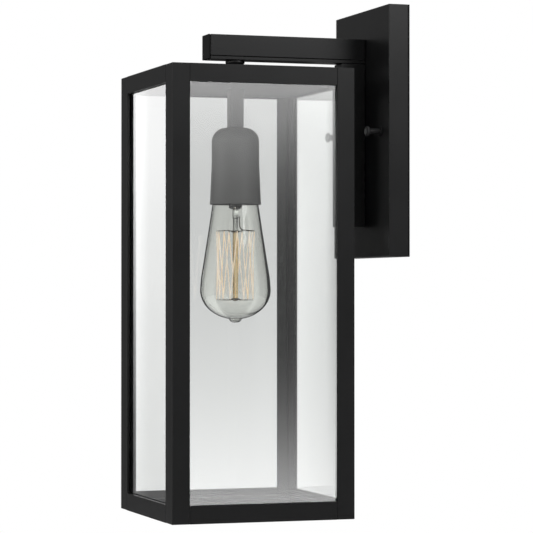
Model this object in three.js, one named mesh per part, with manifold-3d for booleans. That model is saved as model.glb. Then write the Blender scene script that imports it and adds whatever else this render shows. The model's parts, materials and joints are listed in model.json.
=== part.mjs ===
// Outdoor wall lantern: a square glazed cage hung from a bracket arm, with a filament bulb.
//
// Millimetres, +Z up. The origin is on the wall, at the centre of the backplate. +Y points into
// the wall, so the lantern hangs on the -Y side. +X is to the right for someone facing the wall.

import * as THREE from 'three';
import { mergeVertices } from 'three/addons/utils/BufferGeometryUtils.js';
import Module from 'manifold-3d';

const wasm = await Module();
wasm.setup();

// ---------------------------------------------------------------- driving dimensions

const GAP = 0.3;                       // air left between two pieces that touch
const CUT = 1;                         // how far a cutter runs past the face it opens
const ROUND = 28;                      // sides of a large turned piece
const SMALL = 16;                      // sides of a small turned piece
const THIN = 6;                        // sides of a fine wire
const CURVE = 6;                       // steps in a quarter round

const plate = { width: 123.8, height: 205.9, depth: 18.2, wall: 1.8 };
const gasket = { thick: 1, band: 6 };
const crossbar = { width: 108, height: 22, thick: 2.5 };
const boxSlot = { centre: 33, length: 12, width: 5 };
const groundScrew = { x: 13, headRadius: 4, headThick: 2.4, shankRadius: 1.6 };
const knob = { spacing: 88.9, reach: 13.7, headRadius: 4.1, headThick: 3, neckRadius: 2.5, edge: 0.8 };
const stud = { radius: 1.5, reach: 28.5 };
const washer = { radius: 4.2, thick: 1 };

const arm = { width: 18, wall: 1.6, frontY: -155.3, bottomZ: 58.85, topZ: 79.15, coverThick: 2.4 };
const bar = { depth: 20.8, bottomZ: -77.65 };
const endCapThick = 1.5;

const axisY = -129.7;                  // the lantern's vertical axis, measured from the wall
const cage = { size: 152.4, height: 361.8, topZ: 48.25 };
const frame = { thick: 2.5, railHeight: 14.3, sideLeg: 14.65, frontLeg: 19, rearLeg: 19 };
const ledge = { reach: 6.5, thick: 3, floorZ: 5 };
const ear = { length: 18, reach: 17 };
const glassThick = 3;
const roofThick = 2.2;
const plateEdgeGap = 0.4;               // air round the roof and the floor, inside the frame
const ceiling = { bottom: 349, thick: 1.5 };
const floorThick = 1.8;
const thumbscrew = { x: 62, headRadius: 6, headThick: 2.4, shankRadius: 1.9 };

const nipple = { radius: 4, bore: 2.6, topZ: 66.5, bottomZ: 22, clearance: 0.4, socketTopZ: 14 };
const collar = { radius: 7.9, waist: 6.9, lip: 2, slope: 1 };
const nut = { flats: 12.5, thick: 3.8 };
const innerStem = { width: 11, wall: 1.2 };
const wire = { radius: 0.9, apart: 1.05, armZ: 70, steps: 44 };
const wireHole = { z: 69.5, radius: 6 };

const cup = { topZ: 3.2, mouthZ: -59.8, radius: 19.5, mouthRadius: 21.1, wall: 1.4 };
const cupCurve = { shoulder: 11.5, flare: 34 };   // top rounding, and the flared part's height
const screwShell = { radius: 13.75, wall: 0.4, topZ: -13, bottomZ: -40.5 };
const socketBody = { radius: 17.2, cavityTopZ: -11, bottomZ: -40.8, shoulderZ: -9.4, topRadius: 12 };
const centreContact = { radius: 4, bottomZ: -16.2, topZ: -11.3 };
const bulb = { tipZ: -156.8, glassBottomZ: -154, widestZ: -130, radius: 29, wall: 0.8 };
const bulbTip = [[5.2, -154.4], [4, -156.1]];   // [radius, z] down the sealed tip of the glass
const bulbNeck = [                     // [radius, z] down the glass, from inside the cap
  [11.9, -27],
  [11.9, -42.6],
  [13.9, -43.9],
  [16.2, -47.5],
  [18.9, -59.8],
  [21.9, -80],
  [26.3, -108],
  [28.4, -121],
];
const bulbCap = { radius: 12.9, wall: 0.5, topZ: -19.6, bottomZ: -42.6, crown: 2.4, crownRadius: 9 };
const capInsulator = [[0, -21], [7.9, -21], [7.9, -19.8], [5, -18.9], [0, -18.9]];
const capContact = [[0, -18.6], [4.6, -18.6], [4.3, -17.4], [2.4, -16.8], [0, -16.8]];
const glassStem = [                    // [radius, z] up the rod, the bead, the pinch and the flare
  [0, -139],
  [2.2, -139],
  [2.2, -70.6],
  [3.2, -70.4],
  [3.2, -64.4],
  [2.4, -63.9],
  [5.2, -63],
  [6.2, -50],
  [8.5, -45.5],
  [0, -45.5],
];
const filament = { strands: 16, radius: 15.6, topZ: -82, bottomZ: -137.5, wire: 0.4 };
const filamentSweep = { startDeg: 100, spanDeg: 330 };
const hub = { outer: 3.4, inner: 2.5, thick: 1.6 };
const hook = { wire: 0.25, gap: 0.9 };   // the gap is from a hook's end to the filament's bend
const lead = { innerShare: 0.27, outerShare: 0.93, rise: 12.4, end: 0.9 };

const half = cage.size / 2;
const cageBottomZ = cage.topZ - cage.height;
const plateFrontY = -plate.depth;
const innerFace = half - frame.thick;                  // inner face of the frame bars
const paneInner = innerFace - GAP - glassThick;        // inner face of the glass
const armCoverTopZ = arm.bottomZ + arm.coverThick;

// ---------------------------------------------------------------- materials

function finish(colour, roughness, metalness) {
  return new THREE.MeshStandardMaterial({ color: colour, roughness: roughness, metalness: metalness });
}

function glassFinish(opacity) {
  const material = finish(0xf2f5f3, 0.03, 0);
  material.transparent = true;
  material.opacity = opacity;
  return material;
}

const blackPaint = () => finish(0x26272a, 0.5, 0.35);
const darkSteel = () => finish(0x3a3b3d, 0.45, 0.8);
const zincSteel = () => finish(0xa9aaa8, 0.4, 0.9);
const greenSteel = () => finish(0x2f7d4a, 0.4, 0.7);
const brass = () => finish(0xc19a52, 0.3, 1);
const tinned = () => finish(0xb9b4a8, 0.35, 0.9);
const porcelain = () => finish(0xeeebe2, 0.3, 0);
const rubber = () => finish(0x1b1b1c, 0.85, 0);
const blackGlass = () => finish(0x101113, 0.15, 0);
const amber = () => finish(0xd99a4e, 0.5, 0.2);
const whiteSleeve = () => finish(0xe6e4de, 0.6, 0);
const blackSleeve = () => finish(0x1e1e20, 0.6, 0);

// ---------------------------------------------------------------- geometry helpers

function toSolid(geometry) {
  const bare = geometry.clone();
  bare.deleteAttribute('normal');
  bare.deleteAttribute('uv');
  const merged = mergeVertices(bare, 1e-4);
  const mesh = new wasm.Mesh({
    numProp: 3,
    vertProperties: Float32Array.from(merged.attributes.position.array),
    triVerts: Uint32Array.from(merged.index.array),
  });
  return new wasm.Manifold(mesh);
}

function fromSolid(solid) {
  const mesh = solid.getMesh();
  const geometry = new THREE.BufferGeometry();
  geometry.setAttribute('position', new THREE.BufferAttribute(mesh.vertProperties, 3));
  geometry.setIndex(new THREE.BufferAttribute(mesh.triVerts, 1));
  geometry.computeVertexNormals();
  return geometry;
}

function cutAway(body, ...cutters) {
  let solid = toSolid(body);
  for (const cutter of cutters) {
    solid = solid.subtract(toSolid(cutter));
  }
  return fromSolid(solid);
}

function joinUp(first, ...others) {
  let solid = toSolid(first);
  for (const other of others) {
    solid = solid.add(toSolid(other));
  }
  return fromSolid(solid);
}

// A rectangular block between two corners.
function block(low, high) {
  const size = high.map((value, i) => value - low[i]);
  const geometry = new THREE.BoxGeometry(...size);
  geometry.translate(...high.map((value, i) => (value + low[i]) / 2));
  return geometry;
}

// A round bar between two points; six sides make it a hexagon.
function rod(radius, from, to, sides = SMALL) {
  const start = new THREE.Vector3(...from);
  const run = new THREE.Vector3(...to).sub(start);
  const geometry = new THREE.CylinderGeometry(radius, radius, run.length(), sides);
  const turn = new THREE.Quaternion().setFromUnitVectors(
    new THREE.Vector3(0, 1, 0),
    run.clone().normalize(),
  );
  geometry.applyQuaternion(turn);
  geometry.translate(...start.addScaledVector(run, 0.5));
  return geometry;
}

// A turned piece about Z, from a profile of [radius, z] points that starts and ends on the axis
// or closes on itself. The profile runs anticlockwise, with the material on its left.
function turned(profile, sides = ROUND) {
  const geometry = new THREE.LatheGeometry(profile.map(([r, z]) => new THREE.Vector2(r, z)), sides);
  geometry.rotateX(Math.PI / 2);
  return geometry;
}

// A ring or tube about Z.
function tube(outer, inner, bottomZ, topZ, sides = ROUND) {
  const start = [inner, bottomZ];
  return turned([start, [outer, bottomZ], [outer, topZ], [inner, topZ], start], sides);
}

// Points on an arc in a profile, angles in degrees from the outward radius.
function arc(centreR, centreZ, radius, fromDeg, toDeg, steps) {
  return Array.from({ length: steps + 1 }, (_, i) => {
    const angle = THREE.MathUtils.degToRad(fromDeg + ((toDeg - fromDeg) * i) / steps);
    return [centreR + radius * Math.cos(angle), centreZ + radius * Math.sin(angle)];
  });
}

// A hexagon nut about Z, with its flats facing +X and -X.
function hexNut(bore, bottomZ) {
  const corner = nut.flats / Math.sqrt(3);
  const body = new THREE.CylinderGeometry(corner, corner, nut.thick, 6);
  body.rotateX(Math.PI / 2);
  body.translate(0, 0, bottomZ + nut.thick / 2);
  const top = bottomZ + nut.thick;
  return cutAway(body, rod(bore + GAP, [0, 0, bottomZ - CUT], [0, 0, top + CUT]));
}

// An outline of [x, y] points carried straight up Z.
function prism(points, height) {
  const outline = new THREE.Shape(points.map(([x, y]) => new THREE.Vector2(x, y)));
  return new THREE.ExtrudeGeometry(outline, { depth: height, bevelEnabled: false });
}

// A cutter on the vertical axis that lets the threaded nipple through a plate.
function nippleHole(low, high) {
  return rod(nipple.radius + nipple.clearance, [0, 0, low - CUT], [0, 0, high + CUT]);
}

function add(group, name, geometry, material) {
  const mesh = new THREE.Mesh(geometry, material);
  mesh.name = name;
  group.add(mesh);
  return mesh;
}

const sides = [['left', -1], ['right', 1]];

// ---------------------------------------------------------------- wall plate and its fixings

function buildWallPlate(group) {
  const w = plate.width / 2;
  const h = plate.height / 2;
  const rimY = -gasket.thick - GAP;
  const knobX = knob.spacing / 2;

  const pan = cutAway(
    block([-w, plateFrontY, -h], [w, rimY, h]),
    block(
      [-w + plate.wall, plateFrontY + plate.wall, -h + plate.wall],
      [w - plate.wall, rimY + CUT, h - plate.wall],
    ),
    rod(wireHole.radius, [0, plateFrontY - CUT, wireHole.z], [0, -plate.depth / 2, wireHole.z]),
    ...sides.map(([, s]) => rod(
      stud.radius + GAP,
      [s * knobX, plateFrontY - CUT, 0],
      [s * knobX, -plate.depth / 2, 0],
    )),
  );
  add(group, 'backplate', pan, blackPaint());

  const openX = w - gasket.band;
  const openZ = h - gasket.band;
  const band = cutAway(
    block([-w, -gasket.thick, -h], [w, 0, h]),
    block([-openX, -gasket.thick - CUT, -openZ], [openX, CUT, openZ]),
  );
  add(group, 'wall_gasket', band, rubber());

  const barX = crossbar.width / 2;
  const barZ = crossbar.height / 2;
  const through = (x, radius) => rod(radius, [x, -crossbar.thick - CUT, 0], [x, CUT, 0]);
  const slot = (s) => block(
    [s * boxSlot.centre - boxSlot.length / 2, -crossbar.thick - CUT, -boxSlot.width / 2],
    [s * boxSlot.centre + boxSlot.length / 2, CUT, boxSlot.width / 2],
  );
  const strap = cutAway(
    block([-barX, -crossbar.thick, -barZ], [barX, 0, barZ]),
    through(groundScrew.x, groundScrew.shankRadius + GAP),
    ...sides.map(([, s]) => through(s * knobX, stud.radius + GAP)),
    ...sides.map(([, s]) => slot(s)),
  );
  add(group, 'mounting_strap', strap, zincSteel());

  const headY = -crossbar.thick - GAP;
  const ground = joinUp(
    rod(groundScrew.headRadius, [0, headY - groundScrew.headThick, 0], [0, headY, 0]),
    rod(groundScrew.shankRadius, [0, headY - CUT, 0], [0, -GAP, 0]),
  );
  add(group, 'ground_screw', ground, greenSteel()).position.x = groundScrew.x;

  for (const [side, s] of sides) {
    const bolt = rod(stud.radius, [0, -stud.reach, 0], [0, -GAP, 0]);
    add(group, `stud_${side}`, bolt, zincSteel()).position.x = s * knobX;

    const seal = tube(washer.radius, stud.radius + GAP, -washer.thick, 0, SMALL);
    seal.rotateX(-Math.PI / 2);
    add(group, `knob_washer_${side}`, seal, rubber()).position.set(s * knobX, plateFrontY - GAP, 0);

    add(group, `knob_${side}`, knobBody(), blackPaint()).position.set(s * knobX, plateFrontY, 0);
  }
}

// A thumb knob along -Y: a flat round head on a slim neck, bored from behind for its stud.
function knobBody() {
  const base = washer.thick + 2 * GAP;
  const boreEnd = stud.reach - plate.depth + GAP;
  const bore = stud.radius + GAP;
  const headStart = knob.reach - knob.headThick;
  const edge = knob.edge;
  const profile = [
    [bore, base],
    [knob.neckRadius, base],
    [knob.neckRadius, headStart],
    [knob.headRadius - edge, headStart],
    [knob.headRadius, headStart + edge],
    [knob.headRadius, knob.reach - edge],
    [knob.headRadius - edge, knob.reach],
    [0, knob.reach],
  ];
  const inside = [[0, boreEnd], [bore, boreEnd], [bore, base]];
  const geometry = turned([...inside, ...profile.slice(1)], SMALL);
  geometry.rotateX(Math.PI / 2);
  return geometry;
}

// ---------------------------------------------------------------- bracket

function buildBracket(group) {
  const x = arm.width / 2;
  const rootY = plateFrontY - GAP;
  const channelBottomZ = armCoverTopZ + GAP;
  const tubeFrontY = arm.frontY + endCapThick + GAP;
  const barFrontY = rootY - bar.depth;
  const barTopZ = arm.bottomZ - GAP;
  const insideX = x - arm.wall;

  const upright = cutAway(
    block([-x, barFrontY, bar.bottomZ], [x, rootY, barTopZ]),
    block(
      [-insideX, barFrontY + arm.wall, bar.bottomZ + arm.wall],
      [insideX, rootY + CUT, barTopZ + CUT],
    ),
  );
  add(group, 'bracket_upright', upright, blackPaint());

  const channel = cutAway(
    block([-x, tubeFrontY, channelBottomZ], [x, rootY, arm.topZ]),
    block(
      [-insideX, tubeFrontY - CUT, channelBottomZ - CUT],
      [insideX, rootY + CUT, arm.topZ - arm.wall],
    ),
  );
  add(group, 'arm_channel', channel, blackPaint());

  const cover = cutAway(
    block([-x, tubeFrontY, arm.bottomZ], [x, rootY, armCoverTopZ]),
    nippleHole(arm.bottomZ, armCoverTopZ).translate(0, axisY, 0),
  );
  add(group, 'arm_cover', cover, blackPaint());

  const cap = block([-x, arm.frontY, arm.bottomZ], [x, arm.frontY + endCapThick, arm.topZ]);
  add(group, 'arm_end_cap', cap, blackPaint());
}

// Hollow fittings on the lantern's axis that carry the cage and the wires.
function buildHanger(group) {
  const bore = nipple.radius + nipple.clearance;
  const low = cage.topZ + GAP;
  const high = arm.bottomZ - GAP;
  const waistLow = low + collar.lip + collar.slope;
  const waistHigh = high - collar.lip - collar.slope;
  const spool = [
    [bore, low],
    [collar.radius, low],
    [collar.radius, low + collar.lip],
    [collar.waist, waistLow],
    [collar.waist, waistHigh],
    [collar.radius, high - collar.lip],
    [collar.radius, high],
    [bore, high],
    [bore, low],
  ];
  add(group, 'collar', turned(spool), blackPaint());

  const thread = tube(nipple.radius, nipple.bore, nipple.bottomZ, nipple.topZ, SMALL);
  add(group, 'threaded_nipple', thread, zincSteel());
  add(group, 'arm_nut', hexNut(nipple.radius, armCoverTopZ + GAP), zincSteel());

  const roofUnderside = cage.topZ - roofThick;
  add(group, 'roof_nut', hexNut(nipple.radius, roofUnderside - GAP - nut.thick), zincSteel());
}

// Two insulated wires. The route's [y, z] points run from the wall box, along the arm and down
// the nipple to the socket.
function buildWires(group) {
  const inArm = wire.armZ;
  const route = [
    [-8, 93],
    [-8.5, 84],
    [-11, 75],
    [-16, inArm],
    [-26, inArm],
    [-60, inArm],
    [-100, inArm],
    [-116, inArm + 1],
    [-124, inArm + 3.4],
    [-128.6, inArm + 2.4],
    [axisY, inArm - 2],
    [axisY, 60],
    [axisY, 40],
    [axisY, 18],
    [axisY, -1.9],
  ];
  const section = new THREE.Shape();
  section.absarc(0, 0, wire.radius, 0, 2 * Math.PI);
  const wires = [
    { name: 'wire_live', x: -wire.apart, material: blackSleeve() },
    { name: 'wire_neutral', x: wire.apart, material: whiteSleeve() },
  ];
  for (const { name, x, material } of wires) {
    const path = new THREE.CatmullRomCurve3(route.map(([y, z]) => new THREE.Vector3(x, y, z)));
    const options = { steps: wire.steps, bevelEnabled: false, extrudePath: path, curveSegments: 4 };
    add(group, name, new THREE.ExtrudeGeometry(section, options), material);
  }
}

// ---------------------------------------------------------------- cage

// The cage is built about its own axis, standing on z = 0.

// A corner post of L section; sx and sy choose its corner, and its legs run towards the centre.
function cornerPost(sx, sy, legX) {
  const t = frame.thick;
  const outline = [
    [half, half],
    [half - legX, half],
    [half - legX, half - t],
    [half - t, half - t],
    [half - t, half - frame.sideLeg],
    [half, half - frame.sideLeg],
  ];
  const placed = outline.map(([x, y]) => [sx * x, sy * y]);
  if (sx * sy < 0) {
    placed.reverse();
  }
  return prism(placed, cage.height);
}

// A rail along X at the -Y side, with an inner ledge that carries the glass, the roof or the floor.
function rail(fromX, toX, bottomZ, ledgeZ) {
  const outer = block([fromX, -half, bottomZ], [toX, -innerFace, bottomZ + frame.railHeight]);
  const shelf = block(
    [fromX, -innerFace - CUT, ledgeZ],
    [toX, -innerFace + ledge.reach, ledgeZ + ledge.thick],
  );
  return joinUp(outer, shelf);
}

// The side rails of the bottom have an ear in the middle, drilled for the floor's thumbscrew.
function eared(railGeometry) {
  const shelfTop = ledge.floorZ + ledge.thick;
  const tab = block(
    [-ear.length / 2, -innerFace - CUT, ledge.floorZ],
    [ear.length / 2, -innerFace + ear.reach, shelfTop],
  );
  const hole = rod(
    thumbscrew.shankRadius + GAP,
    [0, -thumbscrew.x, ledge.floorZ - CUT],
    [0, -thumbscrew.x, shelfTop + CUT],
  );
  return cutAway(joinUp(railGeometry, tab), hole);
}

function buildFrame(group) {
  for (const [side, sx] of sides) {
    add(group, `post_front_${side}`, cornerPost(sx, -1, frame.frontLeg), blackPaint());
    add(group, `post_rear_${side}`, cornerPost(sx, 1, frame.rearLeg), blackPaint());
  }

  const topZ = cage.height - frame.railHeight;
  const roofLedgeZ = cage.height - roofThick - GAP - ledge.thick;
  const walls = [
    { name: 'front', turn: 0, reach: half - frame.frontLeg - GAP },
    { name: 'right', turn: 90, reach: half - frame.sideLeg - GAP },
    { name: 'rear', turn: 180, reach: half - frame.rearLeg - GAP },
    { name: 'left', turn: -90, reach: half - frame.sideLeg - GAP },
  ];
  for (const wall of walls) {
    const turn = THREE.MathUtils.degToRad(wall.turn);
    const sideways = Math.abs(wall.turn) === 90;
    const upper = rail(-wall.reach, wall.reach, topZ, roofLedgeZ);
    const lower = rail(-wall.reach, wall.reach, 0, ledge.floorZ);
    add(group, `top_rail_${wall.name}`, upper, blackPaint()).rotation.z = turn;
    const base = sideways ? eared(lower) : lower;
    add(group, `bottom_rail_${wall.name}`, base, blackPaint()).rotation.z = turn;

    const paneHalf = sideways ? paneInner - GAP : innerFace - GAP;
    const pane = block(
      [-paneHalf, -innerFace + GAP, ledge.floorZ + ledge.thick + GAP],
      [paneHalf, -paneInner, roofLedgeZ - GAP],
    );
    add(group, `glass_${wall.name}`, pane, glassFinish(0.22)).rotation.z = turn;
  }
}

function buildPlates(group) {
  const edge = innerFace - plateEdgeGap;
  const roofLow = cage.height - roofThick;
  const roof = cutAway(
    block([-edge, -edge, roofLow], [edge, edge, cage.height]),
    nippleHole(roofLow, cage.height),
  );
  add(group, 'roof_plate', roof, blackPaint());

  const inner = paneInner - GAP;
  const ceilingTop = ceiling.bottom + ceiling.thick;
  const ceilingPlate = cutAway(
    block([-inner, -inner, ceiling.bottom], [inner, inner, ceilingTop]),
    nippleHole(ceiling.bottom, ceilingTop),
  );
  add(group, 'ceiling_plate', ceilingPlate, blackPaint());
  add(group, 'ceiling_nut', hexNut(nipple.radius, ceilingTop + GAP), zincSteel());

  const floorTop = ledge.floorZ - GAP;
  const floorLow = floorTop - floorThick;
  const screwHole = (s) => rod(
    thumbscrew.shankRadius + GAP,
    [s * thumbscrew.x, 0, floorLow - CUT],
    [s * thumbscrew.x, 0, floorTop + CUT],
  );
  const floor = cutAway(
    block([-edge, -edge, floorLow], [edge, edge, floorTop]),
    ...sides.map(([, s]) => screwHole(s)),
  );
  add(group, 'floor_plate', floor, blackPaint());

  for (const [side, s] of sides) {
    const headTop = floorLow - GAP;
    const screw = joinUp(
      rod(thumbscrew.headRadius, [0, 0, headTop - thumbscrew.headThick], [0, 0, headTop]),
      rod(thumbscrew.shankRadius, [0, 0, headTop - CUT], [0, 0, ledge.floorZ + ledge.thick + CUT]),
    );
    add(group, `floor_screw_${side}`, screw, darkSteel()).position.x = s * thumbscrew.x;
  }
}

// ---------------------------------------------------------------- lampholder

function buildLampholder(group) {
  const stemTop = cageBottomZ + ceiling.bottom - GAP;
  const w = innerStem.width / 2;
  const inside = w - innerStem.wall;
  const post = cutAway(
    block([-w, -w, cup.topZ + GAP], [w, w, stemTop]),
    block([-inside, -inside, cup.topZ + GAP - CUT], [inside, inside, stemTop + CUT]),
  );
  add(group, 'inner_stem', post, blackPaint());

  const underCup = cup.topZ - cup.wall;
  const nutLow = underCup - GAP - nut.thick;
  const thread = tube(nipple.radius, nipple.bore, nutLow + GAP, nipple.socketTopZ, SMALL);
  add(group, 'socket_nipple', thread, zincSteel());
  add(group, 'socket_nut', hexNut(nipple.radius, nutLow), zincSteel());

  const arcR = cup.radius - cupCurve.shoulder;
  const arcZ = cup.topZ - cupCurve.shoulder;
  const bore = nipple.radius + nipple.clearance;
  const flareZ = cup.mouthZ + cupCurve.flare;
  const shell = [
    [bore, underCup],
    ...arc(arcR, arcZ, cupCurve.shoulder - cup.wall, 90, 0, CURVE),
    [cup.radius - cup.wall, flareZ],
    [cup.mouthRadius - cup.wall, cup.mouthZ],
    [cup.mouthRadius, cup.mouthZ],
    [cup.radius, flareZ],
    ...arc(arcR, arcZ, cupCurve.shoulder, 0, 90, CURVE),
    [bore, cup.topZ],
    [bore, underCup],
  ];
  add(group, 'socket_cup', turned(shell), blackPaint());

  const bodyTop = nutLow - GAP;
  const cavity = screwShell.radius + GAP;
  const body = [
    [0, socketBody.cavityTopZ],
    [cavity, socketBody.cavityTopZ],
    [cavity, socketBody.bottomZ],
    [socketBody.radius, socketBody.bottomZ],
    [socketBody.radius, socketBody.shoulderZ],
    [socketBody.topRadius, bodyTop],
    [0, bodyTop],
  ];
  add(group, 'socket_body', turned(body), porcelain());

  const shellInner = screwShell.radius - screwShell.wall;
  const threads = tube(screwShell.radius, shellInner, screwShell.bottomZ, screwShell.topZ);
  add(group, 'socket_screw_shell', threads, brass());

  const contact = rod(centreContact.radius, [0, 0, centreContact.bottomZ], [0, 0, centreContact.topZ]);
  add(group, 'socket_centre_contact', contact, brass());
}

// ---------------------------------------------------------------- bulb

// Half the outline of the glass, from the cap down to the tip: a neck, a long straight cone
// and a rounded end that closes in a small sealed tip. The inner face has no tip.
function glassOutline(inset) {
  const neck = bulbNeck.map(([r, z]) => [r - inset, z]);
  const belly = arcEllipse(bulb.radius - inset, bulb.widestZ - bulb.glassBottomZ - inset, CURVE);
  if (inset > 0) {
    return [...neck, ...belly];
  }
  return [...neck, ...belly.slice(0, -1), ...bulbTip, [0, bulb.tipZ]];
}

// A quarter ellipse from the widest point down to the axis.
function arcEllipse(radius, depth, steps) {
  return Array.from({ length: steps + 1 }, (_, i) => {
    const angle = (Math.PI / 2) * (i / steps);
    return [i === steps ? 0 : radius * Math.cos(angle), bulb.widestZ - depth * Math.sin(angle)];
  });
}

function buildBulb(group) {
  const envelope = turned([...glassOutline(0).reverse(), ...glassOutline(bulb.wall)]);
  add(group, 'bulb_glass', envelope, glassFinish(0.25));

  const r = bulbCap.radius;
  const t = bulbCap.wall;
  const crownZ = bulbCap.topZ - bulbCap.crown;
  const cap = [
    [bulbCap.crownRadius - t, bulbCap.topZ - t],
    [r - t, crownZ - t],
    [r - t, bulbCap.bottomZ],
    [r, bulbCap.bottomZ],
    [r, crownZ],
    [bulbCap.crownRadius, bulbCap.topZ],
    [bulbCap.crownRadius - t, bulbCap.topZ - t],
  ];
  add(group, 'bulb_cap', turned(cap), brass());
  add(group, 'bulb_cap_insulator', turned(capInsulator), blackGlass());
  add(group, 'bulb_tip_contact', turned(capContact), tinned());
  add(group, 'filament_glass_stem', turned(glassStem, SMALL), glassFinish(0.4));
}

// The bends of the filament, which runs up and down a cage of hooks.
function filamentBends() {
  return Array.from({ length: filament.strands + 1 }, (_, i) => {
    const turn = filamentSweep.startDeg + (filamentSweep.spanDeg * i) / filament.strands;
    const angle = THREE.MathUtils.degToRad(turn);
    const z = i % 2 === 0 ? filament.topZ : filament.bottomZ;
    return [filament.radius * Math.cos(angle), filament.radius * Math.sin(angle), z];
  });
}

function buildFilament(group) {
  const bends = filamentBends();
  const strands = bends.slice(1).map((to, i) => rod(filament.wire, bends[i], to, THIN));
  add(group, 'filament', joinUp(...strands), amber());

  const outward = 1 - hook.gap / filament.radius;
  const inward = (hub.outer + hub.inner) / 2 / filament.radius;
  const supports = [
    { name: 'filament_support_upper', z: filament.topZ },
    { name: 'filament_support_lower', z: filament.bottomZ },
  ];
  for (const { name, z } of supports) {
    const wires = bends
      .filter((bend) => bend[2] === z)
      .map(([x, y]) => [[x * inward, y * inward, z], [x * outward, y * outward, z]])
      .map(([from, to]) => rod(hook.wire, from, to, THIN));
    const ring = tube(hub.outer, hub.inner, z - hub.thick / 2, z + hub.thick / 2, SMALL);
    add(group, name, joinUp(ring, ...wires), darkSteel());
  }

  const ends = { a: bends[0], b: bends[bends.length - 1] };
  for (const [name, [x, y, z]] of Object.entries(ends)) {
    const from = [x * lead.innerShare, y * lead.innerShare, z + lead.rise];
    const to = [x * lead.outerShare, y * lead.outerShare, z + lead.end];
    add(group, `lead_in_wire_${name}`, rod(hook.wire, from, to, THIN), tinned());
  }
}

// ---------------------------------------------------------------- assembly

const lantern = new THREE.Group();

buildWallPlate(lantern);
buildBracket(lantern);
buildWires(lantern);

const onAxis = new THREE.Group();
onAxis.position.y = axisY;
lantern.add(onAxis);
buildHanger(onAxis);
buildLampholder(onAxis);
buildBulb(onAxis);
buildFilament(onAxis);

const cageGroup = new THREE.Group();
cageGroup.position.z = cageBottomZ;
onAxis.add(cageGroup);
buildFrame(cageGroup);
buildPlates(cageGroup);

export default lantern;
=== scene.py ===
import json
import math

import bmesh
import bpy
from mathutils import Matrix, Vector


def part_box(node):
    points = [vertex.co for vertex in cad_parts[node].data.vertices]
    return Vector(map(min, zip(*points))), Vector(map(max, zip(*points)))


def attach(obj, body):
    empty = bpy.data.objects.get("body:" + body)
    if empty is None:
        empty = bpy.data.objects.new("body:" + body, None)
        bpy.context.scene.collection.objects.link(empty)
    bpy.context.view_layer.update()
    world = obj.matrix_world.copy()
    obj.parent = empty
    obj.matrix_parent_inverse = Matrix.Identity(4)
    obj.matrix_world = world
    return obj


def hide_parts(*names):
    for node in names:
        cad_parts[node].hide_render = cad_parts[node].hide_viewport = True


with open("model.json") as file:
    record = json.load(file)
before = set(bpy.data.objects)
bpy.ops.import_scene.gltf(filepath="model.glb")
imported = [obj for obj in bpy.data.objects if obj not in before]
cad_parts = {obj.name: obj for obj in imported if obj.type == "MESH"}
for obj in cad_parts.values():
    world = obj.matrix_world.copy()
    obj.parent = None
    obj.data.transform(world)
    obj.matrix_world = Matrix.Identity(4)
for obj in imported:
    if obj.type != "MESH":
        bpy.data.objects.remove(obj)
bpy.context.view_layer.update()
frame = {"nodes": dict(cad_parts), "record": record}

# An outdoor wall lantern: the wall is at Y = 0 and the lantern stands out from it towards -Y.
MM = 0.001
TAU = 2 * math.pi

# standard threads: the lamp base, the hollow nipples with their nuts, and the plate's studs
EDISON_PITCH = 3.63 * MM
NIPPLE_RADIUS, NIPPLE_BORE, NIPPLE_PITCH, NUT_BORE = 4.0 * MM, 2.6 * MM, 0.94 * MM, 4.3 * MM
STUD_RADIUS, STUD_PITCH = 1.5 * MM, 0.79 * MM


# ------------------------------------------------------------------ camera

camera = bpy.data.objects.new("camera", bpy.data.cameras.new("camera"))
bpy.context.scene.collection.objects.link(camera)
camera.location = (1.8587, -0.7305, -0.1316)
look = Vector((-0.94733, 0.32013, 0.01073))
camera.rotation_mode = "QUATERNION"
camera.rotation_quaternion = look.to_track_quat("-Z", "Y")
camera.data.lens = 160.5
camera.data.sensor_width = 36
camera.data.clip_start = 0.05
camera.data.clip_end = 200
bpy.context.scene.camera = camera
bpy.context.scene.view_settings.view_transform = "Standard"


# ------------------------------------------------------------------ node graphs


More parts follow.
